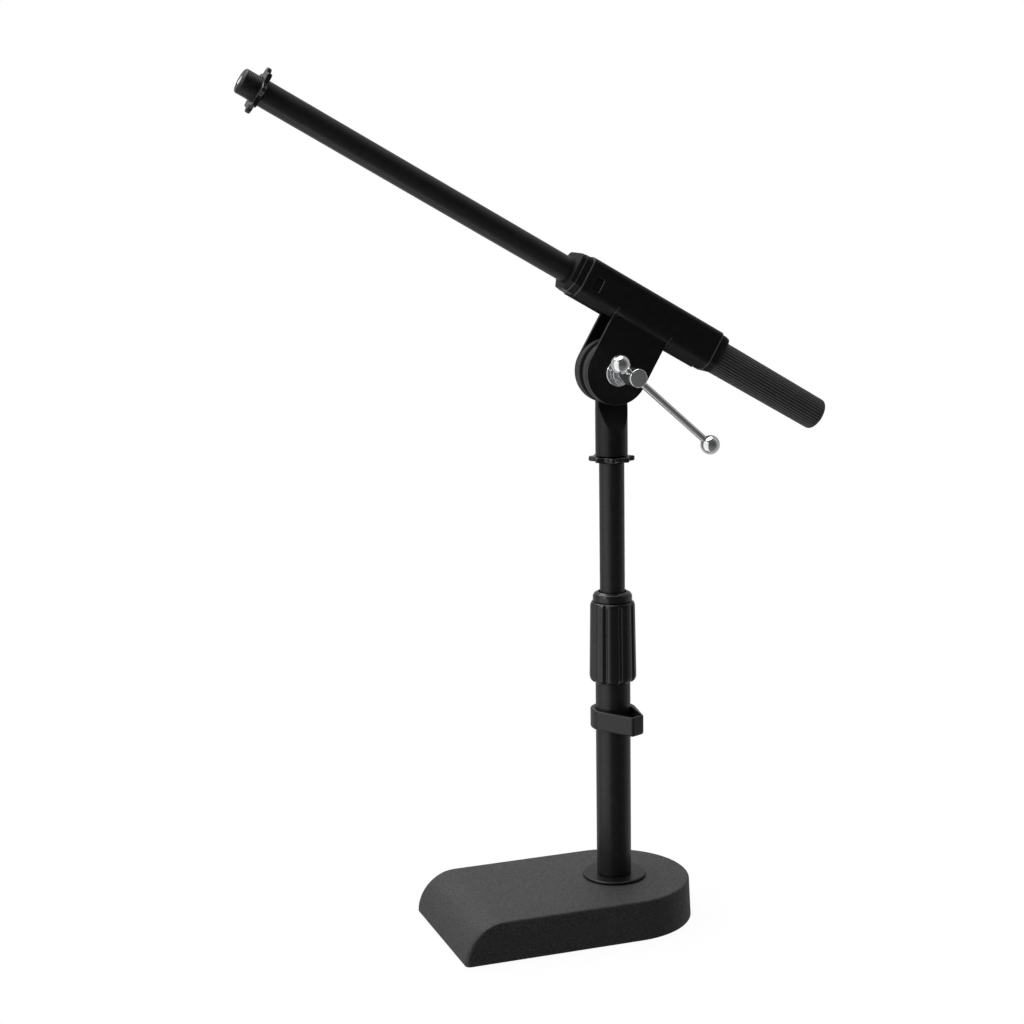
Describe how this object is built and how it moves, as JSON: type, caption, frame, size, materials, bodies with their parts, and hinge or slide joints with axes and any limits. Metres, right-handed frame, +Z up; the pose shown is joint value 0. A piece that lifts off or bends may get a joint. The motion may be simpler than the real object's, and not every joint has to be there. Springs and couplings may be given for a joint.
{
  "type": "boom microphone stand",
  "caption": "Short table-top boom microphone stand: weighted base, twist-clutch telescoping pole and a tilting clamp that holds a sliding boom.",
  "frame": {"origin": "on the floor, under the axis of the pole", "axes": "+Z up; the boom lies in the XZ plane and its threaded tip points towards -X and up; the T-bar of the clamp is on the -Y side"},
  "size_m": [0.3773, 0.1026, 0.5391],
  "materials": {
    "base_texture_paint": "fine sand-textured powder coat, dark grey-black",
    "satin_black_paint": "satin black powder coat",
    "gloss_black_plastic": "semi-gloss moulded",
    "matte_black_plastic": "satin moulded",
    "black_rubber": "matte",
    "zinc_steel": "zinc plated",
    "black_steel": "blackened steel",
    "polished_chrome": "polished chrome plate"
  },
  "bodies": {
    "stand": {"base_casting": "base_texture_paint", "base_pad": "black_rubber", "base_bolt": "zinc_steel", "base_washer": "zinc_steel", "foot_flange": "satin_black_paint", "foot_plug": "zinc_steel", "lower_tube": "satin_black_paint", "clutch_seat": "zinc_steel", "clutch_collet": "matte_black_plastic"},
    "cable_clip": {"cable_clip": "gloss_black_plastic"},
    "clutch": {"clutch_sleeve": "gloss_black_plastic", "clutch_ring": "gloss_black_plastic"},
    "pole_slider": {"tail_bush": "matte_black_plastic"},
    "upper_pole": {"upper_tube": "satin_black_paint", "pole_stud": "black_steel", "pivot_base": "satin_black_paint", "friction_disc_near": "black_rubber", "friction_disc_far": "black_rubber"},
    "pole_lock_ring": {"pole_lock_ring": "matte_black_plastic"},
    "clamp": {"clamp_bracket": "satin_black_paint", "front_bush": "matte_black_plastic", "rear_bush": "matte_black_plastic", "clamp_nut": "polished_chrome", "screw_washer": "polished_chrome"},
    "clamp_screw": {"clamp_screw": "polished_chrome"},
    "t_bar": {"t_bar": "polished_chrome", "t_bar_ball_upper": "polished_chrome", "t_bar_ball_lower": "polished_chrome"},
    "boom_slider": {"boom_plug": "matte_black_plastic"},
    "boom": {"boom_tube": "satin_black_paint", "boom_stud": "black_steel", "boom_grip": "black_rubber"},
    "tip_lock_ring": {"tip_lock_ring": "matte_black_plastic"}
  },
  "joints": [
    {"name": "pole_height", "type": "slide", "parent": "stand", "child": "pole_slider", "axis": [0, 0, 1], "range_m": [-0.082, 0.05]},
    {"name": "pole_turn", "type": "hinge", "parent": "pole_slider", "child": "upper_pole", "pos_m": [0, 0, 0], "axis": [0, 0, 1], "continuous": true},
    {"name": "clutch_twist", "type": "hinge", "parent": "stand", "child": "clutch", "pos_m": [0, 0, 0.18], "axis": [0, 0, 1], "range_deg": [0, 180]},
    {"name": "clip_slide", "type": "slide", "parent": "stand", "child": "cable_clip", "axis": [0, 0, 1], "range_m": [-0.095, 0.0165]},
    {"name": "pole_ring_turn", "type": "hinge", "parent": "upper_pole", "child": "pole_lock_ring", "pos_m": [0, 0, 0.3], "axis": [0, 0, 1], "range_deg": [-180, 180]},
    {"name": "boom_tilt", "type": "hinge", "parent": "upper_pole", "child": "clamp", "pos_m": [0, 0, 0.3545], "axis": [0, 1, 0], "range_deg": [-115, 60]},
    {"name": "screw_turn", "type": "hinge", "parent": "clamp", "child": "clamp_screw", "pos_m": [0, 0, 0.3545], "axis": [0, -1, 0], "range_deg": [-180, 180]},
    {"name": "t_bar_slide", "type": "slide", "parent": "clamp_screw", "child": "t_bar", "axis": [-0.749, 0, 0.6626], "range_m": [0, 0.055]},
    {"name": "boom_slide", "type": "slide", "parent": "clamp", "child": "boom_slider", "axis": [-0.866, 0, 0.5], "range_m": [-0.214, 0]},
    {"name": "boom_spin", "type": "hinge", "parent": "boom_slider", "child": "boom", "pos_m": [0.0203, 0, 0.38966], "axis": [-0.866, 0, 0.5], "continuous": true},
    {"name": "tip_ring_turn", "type": "hinge", "parent": "boom", "child": "tip_lock_ring", "pos_m": [0.0203, 0, 0.38966], "axis": [-0.866, 0, 0.5], "range_deg": [-180, 180]}
  ]
}
